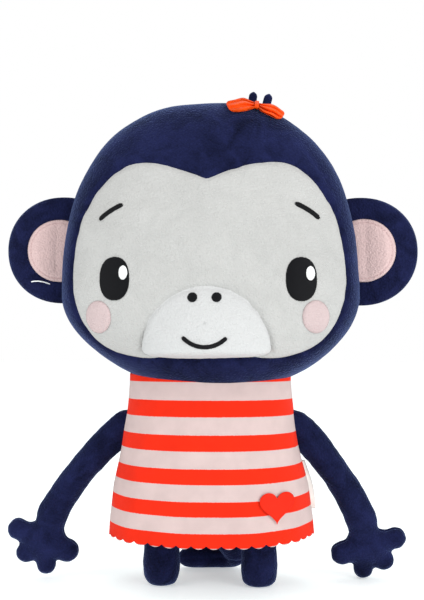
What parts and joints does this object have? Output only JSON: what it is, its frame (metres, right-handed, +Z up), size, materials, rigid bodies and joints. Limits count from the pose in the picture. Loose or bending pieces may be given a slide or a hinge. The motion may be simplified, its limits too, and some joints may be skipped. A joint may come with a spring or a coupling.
{
  "type": "plush toy monkey",
  "caption": "Stuffed plush monkey in a sleeveless striped dress, with a large flat-cushion head, round ears, a hair bow, jointed soft limbs and a curled tail.",
  "frame": {"origin": "on the floor, under the middle of the toy's bounding box", "axes": "+Z up, -Y the way the face looks, +X to the right of someone facing the toy"},
  "size_m": [0.3307, 0.1374, 0.39],
  "materials": {
    "navy_plush": "matte",
    "grey_plush": "matte",
    "white_plush": "matte",
    "pink_plush": "matte",
    "black_thread": "satin",
    "white_thread": "satin",
    "orange_ribbon": "satin",
    "striped_jersey": "matte",
    "orange_print": "satin",
    "label_tape": "satin",
    "nylon": "satin",
    "filling": "matte"
  },
  "bodies": {
    "torso": {"torso_front_panel": "navy_plush", "torso_back_panel": "navy_plush", "torso_stuffing": "filling", "dress_front_panel": "striped_jersey", "dress_back_panel": "striped_jersey", "heart_patch": "orange_print", "side_label": "label_tape"},
    "head": {"head_back_panel": "navy_plush", "head_surround_panel": "navy_plush", "face_panel": "grey_plush", "muzzle_panel": "white_plush", "head_stuffing": "filling", "left_eye": "black_thread", "left_eye_highlight": "white_thread", "left_brow": "black_thread", "left_nostril": "black_thread", "left_cheek": "pink_plush", "right_eye": "black_thread", "right_eye_highlight": "white_thread", "right_brow": "black_thread", "right_nostril": "black_thread", "right_cheek": "pink_plush", "mouth": "black_thread", "bow_left_loop": "orange_ribbon", "bow_knot": "orange_ribbon", "bow_right_loop": "orange_ribbon", "left_tuft": "navy_plush", "right_tuft": "navy_plush"},
    "left_ear": {"left_ear_front_panel": "navy_plush", "left_ear_back_panel": "navy_plush", "left_ear_wadding": "filling", "left_ear_patch": "pink_plush", "tag_fastener": "nylon"},
    "right_ear": {"right_ear_front_panel": "navy_plush", "right_ear_back_panel": "navy_plush", "right_ear_wadding": "filling", "right_ear_patch": "pink_plush"},
    "left_arm_root": {"left_arm_tab": "navy_plush"},
    "left_arm": {"left_arm_front_panel": "navy_plush", "left_arm_back_panel": "navy_plush", "left_arm_stuffing": "filling"},
    "right_arm_root": {"right_arm_tab": "navy_plush"},
    "right_arm": {"right_arm_front_panel": "navy_plush", "right_arm_back_panel": "navy_plush", "right_arm_stuffing": "filling"},
    "left_leg": {"left_leg_front_panel": "navy_plush", "left_leg_back_panel": "navy_plush", "left_leg_stuffing": "filling"},
    "right_leg": {"right_leg_front_panel": "navy_plush", "right_leg_back_panel": "navy_plush", "right_leg_stuffing": "filling"},
    "tail": {"tail_upper_panel": "navy_plush", "tail_lower_panel": "navy_plush", "tail_stuffing": "filling"}
  },
  "joints": [
    {"name": "head_nod", "type": "hinge", "parent": "torso", "child": "head", "pos_m": [0, 0, 0.16], "axis": [1, 0, 0], "range_deg": [-12, 15], "stiffness_Nm_per_rad": 1.2},
    {"name": "left_ear_fold", "type": "hinge", "parent": "head", "child": "left_ear", "pos_m": [-0.1185, 0, 0.265], "axis": [0, 0, 1], "range_deg": [-25, 25], "stiffness_Nm_per_rad": 0.02},
    {"name": "right_ear_fold", "type": "hinge", "parent": "head", "child": "right_ear", "pos_m": [0.1185, 0, 0.265], "axis": [0, 0, -1], "range_deg": [-25, 25], "stiffness_Nm_per_rad": 0.02},
    {"name": "left_arm_swing", "type": "hinge", "parent": "torso", "child": "left_arm_root", "pos_m": [-0.0692, 0, 0.124], "axis": [0, 0, 1], "range_deg": [-25, 35], "stiffness_Nm_per_rad": 0.06},
    {"name": "left_arm_raise", "type": "hinge", "parent": "left_arm_root", "child": "left_arm", "pos_m": [-0.0715, 0, 0.124], "axis": [0, 1, 0], "range_deg": [-2, 75], "stiffness_Nm_per_rad": 0.06},
    {"name": "right_arm_swing", "type": "hinge", "parent": "torso", "child": "right_arm_root", "pos_m": [0.0692, 0, 0.124], "axis": [0, 0, -1], "range_deg": [-25, 35], "stiffness_Nm_per_rad": 0.06},
    {"name": "right_arm_raise", "type": "hinge", "parent": "right_arm_root", "child": "right_arm", "pos_m": [0.0715, 0, 0.124], "axis": [0, -1, 0], "range_deg": [-2, 75], "stiffness_Nm_per_rad": 0.06},
    {"name": "left_leg_swing", "type": "hinge", "parent": "torso", "child": "left_leg", "pos_m": [-0.039, -0.003, 0.0516], "axis": [-1, 0, 0], "range_deg": [-15, 45], "stiffness_Nm_per_rad": 1.5},
    {"name": "right_leg_swing", "type": "hinge", "parent": "torso", "child": "right_leg", "pos_m": [0.039, -0.003, 0.0516], "axis": [-1, 0, 0], "range_deg": [-15, 45], "stiffness_Nm_per_rad": 1.5},
    {"name": "tail_lift", "type": "hinge", "parent": "torso", "child": "tail", "pos_m": [0.004, 0.03, 0.051], "axis": [1, 0, 0], "range_deg": [-5, 18], "stiffness_Nm_per_rad": 0.15}
  ]
}
